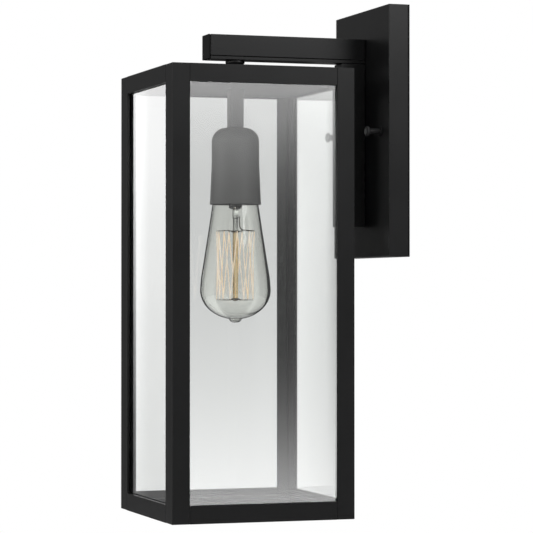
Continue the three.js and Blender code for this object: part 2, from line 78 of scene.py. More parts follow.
class Graph:
    """A node tree with short ways to add what the materials here share."""

    def __init__(self, tree):
        self.tree = tree
        tree.nodes.clear()

    def add(self, kind, inputs=None, **settings):
        node = self.tree.nodes.new(kind)
        for key, value in settings.items():
            setattr(node, key, value)
        for key, value in (inputs or {}).items():
            if isinstance(value, bpy.types.NodeSocket):
                self.tree.links.new(value, node.inputs[key])
            else:
                node.inputs[key].default_value = value
        return node

    def place(self):
        return self.add("ShaderNodeTexCoord").outputs["Object"]

    def noise(self, scale, detail=2.0, stretch=(1, 1, 1)):
        where = self.add("ShaderNodeMapping", {"Vector": self.place(), "Scale": stretch})
        made = self.add(
            "ShaderNodeTexNoise",
            {"Vector": where.outputs[0], "Scale": scale, "Detail": detail},
        )
        return made.outputs["Fac"]

    def math(self, operation, a, b=0.0, clamp=False):
        node = self.add("ShaderNodeMath", {0: a, 1: b}, operation=operation, use_clamp=clamp)
        return node.outputs[0]

    def spread(self, value, low, high, out_low=0.0, out_high=1.0, smooth=False):
        node = self.add(
            "ShaderNodeMapRange",
            {
                "Value": value,
                "From Min": low,
                "From Max": high,
                "To Min": out_low,
                "To Max": out_high,
            },
            interpolation_type="SMOOTHSTEP" if smooth else "LINEAR",
        )
        return node.outputs[0]

    def mix(self, factor, a, b):
        """The colour a where the factor, a socket, is 0 and b where it is 1."""
        node = self.add("ShaderNodeMix", data_type="RGBA")
        for key, value in (("Factor_Float", factor), ("A_Color", a), ("B_Color", b)):
            socket = next(s for s in node.inputs if s.identifier == key)
            if isinstance(value, bpy.types.NodeSocket):
                self.tree.links.new(value, socket)
            else:
                socket.default_value = (*value, 1)
        return next(s for s in node.outputs if s.identifier == "Result_Color")

    def levels(self, value, stops):
        """A smooth grey curve through (value, level) stops."""
        low, high = stops[0][0], stops[-1][0]
        brightest = max(level for _, level in stops)
        node = self.add("ShaderNodeValToRGB", {0: self.spread(value, low, high)})
        ramp = node.color_ramp
        ramp.interpolation = "CARDINAL"
        while len(ramp.elements) < len(stops):
            ramp.elements.new(0.5)
        for element, (at_value, _) in zip(ramp.elements, stops):
            element.position = (at_value - low) / (high - low)
        for element, (_, level) in zip(ramp.elements, stops):
            grey = level / brightest
            element.color = (grey, grey, grey, 1)
        share = self.add("ShaderNodeSeparateXYZ", {0: node.outputs[0]}).outputs[0]
        return self.math("MULTIPLY", share, brightest)

    def bump(self, height, distance):
        return self.add("ShaderNodeBump", {"Height": height, "Distance": distance}).outputs[0]

    def choose(self, factor, a, b):
        """The number a where the factor is 0 and b where it is 1."""
        return self.add("ShaderNodeMix", {0: factor, 2: a, 3: b}, data_type="FLOAT").outputs[0]

    def off_centre(self, value, centre):
        """How far a value is from a centre, either way."""
        return self.math("ABSOLUTE", self.math("SUBTRACT", value, centre))


def material(name, build, **constants):
    """A material with one Principled node: build gives its linked inputs, constants the others."""
    made = bpy.data.materials.new(name)
    made.use_nodes = True
    graph = Graph(made.node_tree)
    linked = build(graph)
    shader = graph.add("ShaderNodeBsdfPrincipled", {**constants, **linked})
    output = graph.add("ShaderNodeOutputMaterial")
    graph.tree.links.new(shader.outputs[0], output.inputs[0])
    return made


def tinted(colour, factor):
    return tuple(c * factor for c in colour)


# Each of these returns a function that adds its nodes to a graph and gives the linked inputs.


def coated(colour, worn_colour, rough=0.46, grain=900, depth=0.02, wear=0.35):
    """A powder coat: fine orange peel, faint cloudiness, and a thinner, shinier film at edges."""

    def build(g):
        cloud = g.noise(26, 3)
        peel = g.noise(grain, 2)
        body = g.mix(cloud, tinted(colour, 0.72), tinted(colour, 1.28))
        speck = g.spread(g.noise(2600, 1), 0.62, 0.74)
        body = g.mix(g.math("MULTIPLY", speck, 0.25), body, tinted(colour, 2.2))
        edge = g.add("ShaderNodeAttribute", attribute_name="edge").outputs["Fac"]
        rubbed = g.math("MULTIPLY", edge, g.spread(g.noise(190, 3), 0.45, 0.7, 0.15, 1))
        rubbed = g.math("MULTIPLY", rubbed, wear)
        rough_now = g.spread(cloud, 0.3, 0.7, rough - 0.035, rough + 0.035)
        rough_now = g.math("SUBTRACT", rough_now, g.math("MULTIPLY", rubbed, 0.25))
        return {
            "Base Color": g.mix(rubbed, body, worn_colour),
            "Roughness": rough_now,
            "Normal": g.bump(peel, depth * MM),
        }

    return build


def metal(colour, rough, grain=(1, 1, 1), scale=700, depth=0.006):
    """A bare or plated metal: fine lines or grain, patches of dull plating, brighter edges."""

    def build(g):
        lines = g.noise(scale, 3, grain)
        patch = g.spread(g.noise(60, 4), 0.35, 0.7)
        edge = g.add("ShaderNodeAttribute", attribute_name="edge").outputs["Fac"]
        body = g.mix(patch, colour, tinted(colour, 0.6))
        body = g.mix(g.spread(lines, 0.3, 0.7, 0, 0.3), body, tinted(colour, 0.7))
        return {
            "Base Color": g.mix(g.math("MULTIPLY", edge, 0.4), body, tinted(colour, 1.25)),
            "Roughness": g.spread(
                g.math("ADD", lines, patch), 0.4, 1.5, rough - 0.08, rough + 0.14
            ),
            "Normal": g.bump(lines, depth * MM),
        }

    return build


def clear(tint, wave=0.0):
    """Clear glass with a trace of colour that comes and goes, and a very slow waviness."""

    def build(g):
        linked = {"Base Color": g.mix(g.noise(14, 2), tint, tinted(tint, 0.985))}
        if wave:
            linked["Normal"] = g.bump(g.noise(9, 1), wave * MM)
        return linked

    return build


def moulded(colour, rough, grain, depth, mottle=0.15):
    """Rubber, sleeve or glazed ceramic: a little mottling, and a fine surface grain."""

    def build(g):
        cloud = g.noise(120, 4)
        return {
            "Base Color": g.mix(cloud, tinted(colour, 1 - mottle), tinted(colour, 1 + mottle)),
            "Roughness": g.spread(cloud, 0.3, 0.7, rough - 0.05, rough + 0.05),
            "Normal": g.bump(g.noise(grain, 2), depth * MM),
        }

    return build


def glowing(colour, hot):
    """A carbonised filament: amber wire with paler, hotter stretches."""

    def build(g):
        stretch = g.spread(g.noise(160, 2, (1, 1, 0.3)), 0.35, 0.65)
        return {
            "Base Color": g.mix(stretch, colour, hot),
            "Emission Color": g.mix(stretch, colour, hot),
            "Normal": g.bump(g.noise(4000, 1), 0.02 * MM),
        }

    return build


BLACK = (0.0034, 0.0035, 0.0039)
paint = material(
    "powder_coat_black",
    coated(BLACK, (0.03, 0.03, 0.032), rough=0.34),
    **{"Specular IOR Level": 0.5},
)
paint_inside = material(
    "powder_coat_inside",
    coated(BLACK, (0.02, 0.02, 0.022), rough=0.5, wear=0.15),
    **{"Specular IOR Level": 0.35},
)
# The socket cup and lamp stem are a mid grey, far lighter than the black paint. This is partly
# their own lighter tone and partly painted light: it brightens them where little light reaches
# inside the glass.
socket_tone_and_painted_light = material(
    "socket_grey_and_painted_light",
    coated((0.19, 0.19, 0.186), (0.24, 0.24, 0.24), rough=0.42, grain=1500, depth=0.001),
    **{"Specular IOR Level": 0.5},
)
paint_knob = material(
    "knob_enamel", coated((0.016, 0.016, 0.017), (0.12, 0.12, 0.12), rough=0.38, wear=0.8)
)
pane_glass = material(
    "pane_glass",
    clear((0.985, 0.995, 0.988), 0.004),
    **{"Transmission Weight": 1.0, "IOR": 1.5, "Roughness": 0.0},
)
bulb_clear = material(
    "bulb_glass",
    clear((0.94, 0.947, 0.922), 0.01),
    **{"Transmission Weight": 1.0, "IOR": 1.47, "Roughness": 0.0},
)
amber_clear = material(
    "amber_glass",
    clear((0.9, 0.72, 0.45)),
    **{"Transmission Weight": 1.0, "IOR": 1.5, "Roughness": 0.03},
)
stem_clear = material(
    "stem_glass",
    clear((0.97, 0.98, 0.96)),
    **{"Transmission Weight": 1.0, "IOR": 1.5, "Roughness": 0.03},
)
zinc = material("zinc_plate", metal((0.55, 0.56, 0.57), 0.38, grain=(1, 6, 1)), Metallic=1.0)
dark_zinc = material("dark_steel", metal((0.09, 0.09, 0.095), 0.42, scale=900), Metallic=1.0)
green_zinc = material("green_zinc", metal((0.04, 0.25, 0.09), 0.38), Metallic=1.0)
brass = material("brass", metal((0.62, 0.41, 0.14), 0.28, grain=(1, 1, 5)), Metallic=1.0)
solder = material("solder", metal((0.55, 0.53, 0.47), 0.45, scale=300, depth=0.03), Metallic=1.0)
cap_nylon = material(
    "cap_nylon",
    moulded((0.0028, 0.0028, 0.003), 0.5, 1500, 0.006),
    **{"Specular IOR Level": 0.25},
)
rubber = material("rubber", moulded((0.014, 0.014, 0.0145), 0.85, 500, 0.06, 0.3))
glaze = material(
    "porcelain", moulded((0.8, 0.78, 0.72), 0.16, 60, 0.02, 0.04), **{"Coat Weight": 0.4}
)
vitrite = material("black_glass", moulded((0.008, 0.008, 0.01), 0.12, 200, 0.02))
sleeve_white = material("sleeve_white", moulded((0.74, 0.73, 0.68), 0.5, 900, 0.01, 0.05))
sleeve_black = material("sleeve_black", moulded((0.013, 0.013, 0.015), 0.5, 900, 0.01))
carbon = material(
    "filament",
    glowing((0.96, 0.76, 0.55), (1.0, 0.9, 0.79)),
    Roughness=0.5,
    **{"Emission Strength": 0.65},
)
support_wire = material("support_wire", metal((0.22, 0.2, 0.17), 0.4), Metallic=1.0)


# ------------------------------------------------------------------ mesh helpers


SHARP = math.radians(30)


def piece(name, bm, body, skin, stands_for, flat_angle=None):
    """Turns a bmesh into a named piece that rides on a body and stands for CAD nodes.

    A flat_angle in degrees smooths the edges that bend less than that.
    """
    bmesh.ops.recalc_face_normals(bm, faces=bm.faces)
    mesh = bpy.data.meshes.new(name)
    if flat_angle is not None:
        for face in bm.faces:
            face.smooth = True
    bm.to_mesh(mesh)
    bm.free()
    if flat_angle is not None:
        mesh.set_sharp_from_angle(angle=math.radians(flat_angle))
    made = bpy.data.objects.new(name, mesh)
    bpy.context.scene.collection.objects.link(made)
    mesh.materials.append(skin)
    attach(made, body)
    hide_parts(*stands_for)
    return made


def body_of(node):
    """The name of the CAD body that a node belongs to."""
    bodies = frame["record"]["behaviour"]["bodies"]
    return next(body for body, members in bodies.items() if node in members)


def node_mesh(node):
    """A CAD node's solid with its triangles merged back into whole faces."""
    bm = bmesh.new()
    bm.from_mesh(frame["nodes"][node].data)
    bmesh.ops.remove_doubles(bm, verts=bm.verts, dist=0.002 * MM)
    bmesh.ops.dissolve_limit(bm, angle_limit=0.01, verts=bm.verts, edges=bm.edges)
    return bm


def soften(bm, width, steps, keep):
    """Rounds the sharp edges, other than those keep picks out, and marks the new faces as edge."""
    mark = bm.faces.layers.float.new("edge")
    chosen = [
        e
        for e in bm.edges
        if len(e.link_faces) == 2 and e.calc_face_angle() > SHARP and not (keep and keep(e))
    ]
    made = bmesh.ops.bevel(
        bm,
        geom=chosen,
        offset=width,
        offset_type="OFFSET",
        segments=steps,
        profile=0.5,
        affect="EDGES",
        clamp_overlap=True,
    )
    for face in made["faces"]:
        face[mark] = 1.0


def refined(name, node, skin, width, steps=2, keep=None, shift=None):
    """A CAD node's solid with edges rounded by a width in mm, as a piece that stands for it."""
    bm = node_mesh(node)
    if shift:
        for vertex in bm.verts:
            vertex.co = shift(vertex.co)
    soften(bm, width * MM, steps, keep)
    bmesh.ops.connect_verts_concave(bm, faces=bm.faces)
    return piece(name, bm, body_of(node), skin, [node])


def around(radius, angle, z):
    return Vector((radius * math.cos(angle), radius * math.sin(angle), z))


def ring_of(bm, radius, z, count, shape, place):
    """One ring of a turned form, or a single vertex where it meets the axis."""
    if radius < 1e-7:
        return [bm.verts.new(place @ Vector((0, 0, z)))]
    ring = []
    for i in range(count):
        angle = TAU * i / count
        r = shape(radius, z, angle) if shape else radius
        point = r if isinstance(r, Vector) else around(r, angle, z)
        ring.append(bm.verts.new(place @ point))
    return ring


def bridge(bm, a, b):
    """Joins two rings with faces; either may be a single vertex."""
    if len(a) == 1 and len(b) == 1:
        return
    count = max(len(a), len(b))
    for i in range(count):
        j = (i + 1) % count
        if len(a) == 1:
            bm.faces.new((a[0], b[j], b[i]))
        elif len(b) == 1:
            bm.faces.new((a[i], a[j], b[0]))
        else:
            bm.faces.new((a[i], a[j], b[j], b[i]))


def lathe(profile, place, count=96, shape=None, bm=None):
    """Turns a profile of (radius, z) points about Z, in metres, and puts it in place.

    A profile that ends where it starts is closed. shape gives the radius, or the point itself,
    from the profile's radius, z and the angle.
    """
    bm = bm or bmesh.new()
    if not bm.faces.layers.float.get("edge"):
        bm.faces.layers.float.new("edge")
    closed = (Vector(profile[0]) - Vector(profile[-1])).length < 1e-9
    points = profile[:-1] if closed else profile
    rings = [ring_of(bm, r, z, count, shape, place) for r, z in points]
    for a, b in zip(rings, rings[1:]):
        bridge(bm, a, b)
    if closed:
        bridge(bm, rings[-1], rings[0])
    return bm


def curved(points, steps=6):
    """A smooth line through the points, as a Catmull-Rom spline."""
    pts = [Vector(p) for p in points]
    ends = [pts[0] * 2 - pts[1], *pts, pts[-1] * 2 - pts[-2]]
    line = []
    for a, b, c, d in zip(ends, ends[1:], ends[2:], ends[3:]):
        for i in range(steps):
            t = i / steps
            line.append(
                0.5
                * (
                    2 * b
                    + (c - a) * t
                    + (2 * a - 5 * b + 4 * c - d) * t**2
                    + (3 * b - a - 3 * c + d) * t**3
                )
            )
    return [*line, pts[-1]]


def swept(points, radius, count, bm=None):
    """A round wire along a line of points, closed at both ends."""
    bm = bm or bmesh.new()
    pts = [Vector(p) for p in points]
    runs = [(b - a).normalized() for a, b in zip(pts, pts[1:])]
    along = [runs[0], *[(a + b).normalized() for a, b in zip(runs, runs[1:])], runs[-1]]
    side = along[0].orthogonal().normalized()
    rings = []
    for point, forward in zip(pts, along):
        side = (side - forward * side.dot(forward)).normalized()
        up = forward.cross(side)
        turns = [TAU * i / count for i in range(count)]
        rings.append(
            [bm.verts.new(point + radius * (math.cos(t) * side + math.sin(t) * up)) for t in turns]
        )
    for a, b in zip(rings, rings[1:]):
        bridge(bm, a, b)
    bm.faces.new(rings[0][::-1])
    bm.faces.new(rings[-1])
    return bm


def rounded(profile, radius, steps=3):
    """A profile with each inner corner turned into a small curve; its ends stay as they are."""
    pts = [Vector(p) for p in profile]
    line = [pts[0]]
    for before, corner, after in zip(pts, pts[1:], pts[2:]):
        a, b = before - corner, after - corner
        reach = min(radius, 0.45 * a.length, 0.45 * b.length)
        start, end = corner + a.normalized() * reach, corner + b.normalized() * reach
        for i in range(steps + 1):
            t = i / steps
            line.append((1 - t) ** 2 * start + 2 * t * (1 - t) * corner + t**2 * end)
    return [tuple(p) for p in [*line, pts[-1]]]


def arc(centre, radius, start, end, steps):
    """Points along a part of a circle, from one angle in degrees to another."""
    return [
        (
            centre[0] + radius * math.cos(math.radians(start + (end - start) * i / steps)),
            centre[1] + radius * math.sin(math.radians(start + (end - start) * i / steps)),
        )
        for i in range(steps + 1)
    ]


def threaded(major, depth, pitch, low, high, place, bore=0.0, count=24):
    """A screw thread about Z, with the thread running out at both ends."""
    steps = max(8, round((high - low) / pitch * 6))

    def crest(radius, z, angle):
        if radius < major * 0.999:
            return radius
        phase = math.cos(TAU * (z - low) / pitch - angle)
        fade = min(1.0, (z - low) / (0.8 * pitch), (high - z) / (0.8 * pitch))
        return major - depth * (1 - max(0.0, fade) * (0.5 + 0.5 * phase))

    outer = [(major, low + (high - low) * i / steps) for i in range(steps + 1)]
    if bore:
        profile = [(bore, low), *outer, (bore, high), (bore, low)]
    else:
        profile = [(0, low), *outer, (0, high)]
    return lathe(profile, place, count, crest)


def knurled(rim, depth, teeth):
    """A shape for lathe that cuts shallow teeth into the rim of a head."""

    def cut(radius, z, angle):
        if radius <= rim * 0.97:
            return radius
        return radius - depth * (0.5 + 0.5 * math.cos(teeth * angle))

    return cut


def hexagon_nut(flats, thick, low, bore, place):
    """A hexagon nut with chamfered corners and a small bevel round its bore."""
    corner = flats / math.sqrt(3)
    edge = corner - flats / 2

    def six(radius, z, angle):
        if radius < bore * 1.5:
            return radius
        turn = (angle + math.pi / 6) % (math.pi / 3) - math.pi / 6
        return min(radius, flats / 2 / math.cos(turn))

    high = low + thick
    slope = edge * 0.55
    chamfered = [
        (flats / 2 * 0.97, low),
        (corner, low + slope),
        (corner, high - slope),
        (flats / 2 * 0.97, high),
    ]
    profile = [(bore, low + 0.3 * MM), (bore + 0.4 * MM, low), *chamfered]
    profile += [(bore + 0.4 * MM, high), (bore, high - 0.3 * MM), (bore, low + 0.3 * MM)]
    return lathe(profile, place, 72, six)


def centre_of(node):
    low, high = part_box(node)
    return (low + high) / 2


def at(x, y, z=0.0):
    return Matrix.Translation((x, y, z))


# Turns a piece made about Z so that its +Z points outward from the wall, along -Y.
OUTWARD = Matrix.Rotation(math.radians(90), 4, "X")

axis = centre_of("collar")
ON_AXIS = at(axis.x, axis.y)


def outward_of(node):
    """How long and wide a node is that points outward, and the place of its wall end."""
    low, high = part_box(node)
    middle = centre_of(node)
    return high.y - low.y, (high.x - low.x) / 2, at(middle.x, high.y, middle.z) @ OUTWARD


def carve(obj, low, high):
    """Cuts a straight slot between two corners out of a piece."""
    cutter = bmesh.new()
    between = Matrix.LocRotScale((low + high) / 2, None, high - low)
    bmesh.ops.create_cube(cutter, size=1.0, matrix=between)
    mesh = bpy.data.meshes.new("cutter")
    cutter.to_mesh(mesh)
    cutter.free()
    tool = bpy.data.objects.new("cutter", mesh)
    bpy.context.scene.collection.objects.link(tool)
    cut = obj.modifiers.new("slot", "BOOLEAN")
    cut.operation = "DIFFERENCE"
    cut.object = tool
    cut.solver = "EXACT"
    bpy.context.view_layer.update()
    evaluated = obj.evaluated_get(bpy.context.evaluated_depsgraph_get())
    result = bpy.data.meshes.new_from_object(evaluated)
    obj.modifiers.clear()
    obj.data = result
    bpy.data.objects.remove(tool)


# ------------------------------------------------------------------ cage frame

SEAM = 0.28 * MM  # how much further a rail reaches into the joint with its post
TOUCH = 0.02 * MM


def end_of_rail(sideways, low, high):
    """Picks out the edges at a rail's two ends, which butt against the posts."""

    def ends(e):
        a, b = (v.co.y if sideways else v.co.x for v in e.verts)
        return all(min(abs(value - low), abs(value - high)) < TOUCH for value in (a, b))

    return ends


for wall in ("front", "right", "rear", "left"):
    sideways = wall in ("right", "left")
    for level in ("top", "bottom"):
        node = f"{level}_rail_{wall}"
        low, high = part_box(node)
        start, end = (low.y, high.y) if sideways else (low.x, high.x)
        far_seam = SEAM * (0.3 if sideways else 1.0)

        def close_up(co, sideways=sideways, start=start, end=end, far_seam=far_seam):
            value = co.y if sideways else co.x
            if abs(value - start) < TOUCH:
                value -= SEAM
            elif abs(value - end) < TOUCH:
                value += far_seam
            return Vector((co.x, value, co.z)) if sideways else Vector((value, co.y, co.z))

        refined(
            f"{level}_bar_{wall}",
            node,
            paint,
            0.45,
            2,
            end_of_rail(sideways, start - SEAM, end + far_seam),
            close_up,
        )

for corner in ("front_left", "front_right", "rear_left", "rear_right"):
    refined(f"corner_bar_{corner}", f"post_{corner}", paint, 0.45)

refined("roof_sheet", "roof_plate", paint, 0.4)
refined("ceiling_sheet", "ceiling_plate", paint_inside, 0.35)
refined("floor_sheet", "floor_plate", paint_inside, 0.4)

for wall in ("front", "right", "rear", "left"):
    refined(f"pane_{wall}", f"glass_{wall}", pane_glass, 0.5, 1)


# ------------------------------------------------------------------ bracket

refined("wall_pan", "backplate", paint, 0.9, 3)
refined("foam_gasket", "wall_gasket", rubber, 0.3, 1)
refined("crossbar", "mounting_strap", zinc, 0.5)
refined("bracket_post", "bracket_upright", paint, 0.6, 3)
refined("arm_tube", "arm_channel", paint, 0.6, 3)
refined("arm_underside", "arm_cover", paint, 0.35)
refined("arm_end", "arm_end_cap", cap_nylon, 0.5, 3)


# ------------------------------------------------------------------ hanger on the axis

low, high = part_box("collar")
outer = (high.x - low.x) / 2
waist = outer * 0.87
bore = 4.35 * MM
spool = [
    (bore, low.z),
    (outer, low.z),
    (outer, low.z + 2.1 * MM),
    (waist, low.z + 3.1 * MM),
    (waist, high.z - 3.1 * MM),
    (outer, high.z - 2.1 * MM),
    (outer, high.z),
    (bore, high.z),
]
spool = rounded(spool, 0.5 * MM)
piece(
    "hanger_collar",
    lathe([*spool, spool[0]], ON_AXIS),
    "bracket",
    paint,
    ["collar"],
    35,
)

for name, node, body in (
    ("hanger_nipple", "threaded_nipple", "bracket"),
    ("lamp_nipple", "socket_nipple", "cage"),
):
    low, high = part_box(node)
    made = threaded(
        NIPPLE_RADIUS, 0.35 * MM, NIPPLE_PITCH, low.z, high.z, ON_AXIS, NIPPLE_BORE
    )
    piece(name, made, body, zinc, [node], 40)

for name, node in (
    ("arm_lock_nut", "arm_nut"),
    ("roof_lock_nut", "roof_nut"),
    ("ceiling_lock_nut", "ceiling_nut"),
    ("lamp_lock_nut", "socket_nut"),
):
    low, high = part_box(node)
    made = hexagon_nut(high.x - low.x, high.z - low.z, low.z, NUT_BORE, ON_AXIS)
    piece(name, made, body_of(node), zinc, [node], 30)


# ------------------------------------------------------------------ wall fixings

for side in ("left", "right"):
    length, _, place = outward_of(f"stud_{side}")
    made = threaded(STUD_RADIUS, 0.2 * MM, STUD_PITCH, 0, length, place, count=20)
    piece(f"plate_stud_{side}", made, "bracket", zinc, [f"stud_{side}"], 40)

    thick, outer, place = outward_of(f"knob_washer_{side}")
    ring = rounded([(1.8 * MM, 0), (outer, 0), (outer, thick), (1.8 * MM, thick)], 0.3 * MM)
    piece(
        f"plate_seal_{side}",
        lathe([*ring, ring[0]], place, 48),
        body_of(f"knob_washer_{side}"),
        rubber,
        [f"knob_washer_{side}"],
        40,
    )

    length, head, place = outward_of(f"knob_{side}")
    neck, head_from = head * 0.61, length - 3.0 * MM
    hole, hole_end = 1.75 * MM, 9.2 * MM
    outline = [
        (0, hole_end),
        (hole, hole_end),
        (hole, 0),
        (neck, 0),
        (neck, head_from - 0.3 * MM),
        (head * 0.8, head_from),
        (head, head_from + 0.7 * MM),
        (head, length - 0.7 * MM),
        (head * 0.8, length),
        (head * 0.3, length - 0.15 * MM),
        (0, length - 0.15 * MM),
    ]
    made = lathe(rounded(outline, 0.35 * MM), place, 120, knurled(head, 0.16 * MM, 30))
    piece(
        f"thumb_knob_{side}",
        made,
        f"knob_{side}",
        paint_knob,
        [f"knob_{side}"],
        40,
    )

length, head, place = outward_of("ground_screw")
outline = [
    (0, 0),
    (1.3 * MM, 0),
    (1.6 * MM, 0.4 * MM),
    (1.6 * MM, length - 2.4 * MM),
    (head, length - 2.4 * MM),
    (head, length - 1.0 * MM),
    (head * 0.75, length - 0.1 * MM),
    (0, length),
]
bm = lathe(rounded(outline, 0.3 * MM), place, 72)
middle = centre_of("ground_screw")
face_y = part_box("ground_screw")[0].y
slot_low = Vector((middle.x - 0.55 * MM, face_y - MM, middle.z - head - MM))
slot_high = Vector((middle.x + 0.55 * MM, face_y + 1.0 * MM, middle.z + head + MM))
ground = piece("ground_bolt", bm, "bracket", green_zinc, ["ground_screw"], 40)
carve(ground, slot_low, slot_high)


# ------------------------------------------------------------------ wires

IN_ARM = 70  # height in mm at which they run along the arm
WIRE_RADIUS = 0.88 * MM
# (y, z) in mm: up through the nipple, along the arm and down behind the backplate
ROUTE = [
    (-8, 93),
    (-8.5, 84),
    (-11, 75),
    (-16, IN_ARM),
    (-26, IN_ARM),
    (-60, IN_ARM),
    (-100, IN_ARM),
    (-116, IN_ARM + 1),
    (-124, IN_ARM + 3.4),
    (-128.6, IN_ARM + 2.4),
    (-129.7, IN_ARM - 2),
    (-129.7, 60),
    (-129.7, 40),
    (-129.7, 18),
    (-129.7, -1.9),
]
for name, node, skin, slot in (
    ("live_lead", "wire_live", sleeve_black, "black_sleeve"),
    ("neutral_lead", "wire_neutral", sleeve_white, "white_sleeve"),
):
    line = curved([(centre_of(node).x, y * MM, z * MM) for y, z in ROUTE])
    piece(name, swept(line, WIRE_RADIUS, 14), "bracket", skin, [node], 50)


# ------------------------------------------------------------------ lampholder

# the stem shares the socket's grey, which is partly painted light
refined("lamp_stem", "inner_stem", socket_tone_and_painted_light, 0.7, 3)

low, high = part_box("socket_cup")
mouth, top = (high.x - low.x) / 2, high.z
straight, shoulder, wall = 19.5 * MM, 11.5 * MM, 1.4 * MM
flare = low.z + 34 * MM
centre = (straight - shoulder, top - shoulder)
outside = [
    *arc(centre, shoulder, 90, 0, 18),
    (straight, flare),
    (mouth - 0.25 * MM, low.z + 2.6 * MM),
    (mouth, low.z + 1.6 * MM),
    (mouth, low.z + 0.4 * MM),
    (mouth - 0.4 * MM, low.z),
]
inside = [
    (mouth - wall, low.z),
    (mouth - wall - 0.3 * MM, low.z + 0.6 * MM),
    (straight - wall, flare),
    *arc(centre, shoulder - wall, 0, 90, 12),
]
bore = 4.4 * MM
cup = [(bore, top), *outside, *inside, (bore, top - wall), (bore, top)]
# the cup's grey is partly its own tone and partly painted light
piece(
    "lamp_cup",
    lathe(cup, ON_AXIS, 128),
    "cage",
    socket_tone_and_painted_light,
    ["socket_cup"],
    35,
)

low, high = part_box("socket_body")
r = (high.x - low.x) / 2
cavity, roof = 14.1 * MM, -11 * MM
body = [
    (0, roof),
    (cavity, roof),
    (cavity, low.z),
    (cavity + 0.8 * MM, low.z),
    (r, low.z),
    (r, low.z + 6 * MM),
    (r - 0.8 * MM, low.z + 7 * MM),
    (r - 0.8 * MM, low.z + 12 * MM),
    (r, low.z + 13 * MM),
    (r, -9.4 * MM),
    (12 * MM, high.z),
    (0, high.z),
]
piece(
    "lamp_porcelain",
    lathe(rounded(body, 0.6 * MM), ON_AXIS),
    "cage",
    glaze,
    ["socket_body"],
    35,
)


def edison(outer, depth, wall, low, high):
    """A rolled sheet thread on the axis: the inside follows the outside."""
    steps = max(12, round((high - low) / EDISON_PITCH * 14))

    def wavy(radius, z, angle):
        phase = 0.5 + 0.5 * math.cos(TAU * (z - low) / EDISON_PITCH - angle)
        fade = max(0.0, min(1.0, (z - low) / EDISON_PITCH, (high - z) / EDISON_PITCH))
        return radius - depth * (1 - phase) * fade

    ups = [low + (high - low) * i / steps for i in range(steps + 1)]
    profile = [(outer - wall, z) for z in reversed(ups)] + [(outer, z) for z in ups]
    return lathe([*profile, profile[0]], ON_AXIS, 72, wavy)


low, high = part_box("socket_screw_shell")
r = (high.x - low.x) / 2
piece(
    "lamp_screw_shell",
    edison(r, 0.35 * MM, 0.35 * MM, low.z, high.z),
    "cage",
    brass,
    ["socket_screw_shell"],
    40,
)

low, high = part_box("socket_centre_contact")
r = (high.x - low.x) / 2
spring = [(0, low.z), (r * 0.55, low.z), (r, low.z + 1.4 * MM), (r, high.z), (0, high.z)]
piece(
    "lamp_centre_contact",
    lathe(rounded(spring, 0.5 * MM), ON_AXIS, 48),
    "cage",
    brass,
    ["socket_centre_contact"],
    35,
)


# ------------------------------------------------------------------ bulb

# heights in mm of the blown tip, the glass round it and the widest place, and the radius there
TIP, GLASS_BOTTOM, WIDEST, BELLY = -156.8, -154.0, -130.0, 29.0
GLASS_WALL = 0.8
BELLY_STEPS = 22


def envelope(inset):
    """The bulb's outline from its neck down to the tip, moved inward by an inset in mm."""
    neck = [
        (11.9, -27),
        (11.9, -42.2),
        (12.3, -43.2),
        (14.2, -44.2),
        (16.0, -47.2),
        (17.2, -51.5),
        (18.9, -59.8),
        (21.9, -80),
        (24.1, -94),
        (26.3, -108),
        (28.2, -120),
        (29.0, -129.9),
    ]
    line = curved([(x - inset, z, 0) for x, z in neck], 5)
    outline = [(p.x * MM, p.y * MM) for p in line]
    depth = WIDEST - GLASS_BOTTOM - inset
    belly = []
    for i in range(1, BELLY_STEPS + 1):
        angle = math.pi / 2 * i / BELLY_STEPS
        belly.append(
            ((BELLY - inset) * math.cos(angle) * MM, (WIDEST - depth * math.sin(angle)) * MM)
        )
    if inset:
        tip_from = 5.8
        tip = [(5.0, -153.0), (4.0, -153.9), (3.0, -155.1), (1.6, -155.8), (0, -156.0)]
    else:
        tip_from = 6.2
        tip = [(5.6, -153.6), (5.0, -154.3), (4.4, -155.4), (3.2, -156.3), (1.6, -156.7), (0, TIP)]
    belly = [point for point in belly if point[0] > tip_from * MM]
    return [*outline, *belly, *((x * MM, z * MM) for x, z in tip)]


shell = [*reversed(envelope(0)), *envelope(GLASS_WALL)]
piece(
    "bulb_envelope",
    lathe(shell, ON_AXIS, 128),
    "bulb",
    bulb_clear,
    ["bulb_glass"],
    50,
)

low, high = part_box("bulb_cap")
r = (high.x - low.x) / 2
bm = edison(r, 0.55 * MM, 0.4 * MM, low.z, high.z - 3.2 * MM)
crown = [
    (8.4 * MM, high.z - 0.4 * MM),
    (r - 0.9 * MM, high.z - 3.1 * MM),
    (r - 0.4 * MM, high.z - 3.35 * MM),
    (r, high.z - 3.1 * MM),
    (r - 0.5 * MM, high.z - 2.4 * MM),
    (9 * MM, high.z),
    (8.4 * MM, high.z - 0.4 * MM),
]
lathe(crown, ON_AXIS, 72, bm=bm)
piece("bulb_screw_cap", bm, "bulb", brass, ["bulb_cap"], 40)

# the cap's insulator and its solder, as (radius, z) in mm
insulator = [(0, -21), (7.9, -21), (7.9, -19.8), (5, -18.9), (0, -18.9)]
piece(
    "bulb_insulator",
    lathe(rounded([(a * MM, b * MM) for a, b in insulator], 0.4 * MM), ON_AXIS, 64),
    "bulb",
    vitrite,
    ["bulb_cap_insulator"],
    40,
)
blob = [(0, -18.6), (4.6, -18.6), (4.3, -17.5), (2.4, -16.85), (0, -16.8)]
piece(
    "bulb_solder",
    lathe(rounded([(a * MM, b * MM) for a, b in blob], 0.8 * MM, 5), ON_AXIS, 48),
    "bulb_tip",
    solder,
    ["bulb_tip_contact"],
    60,
)

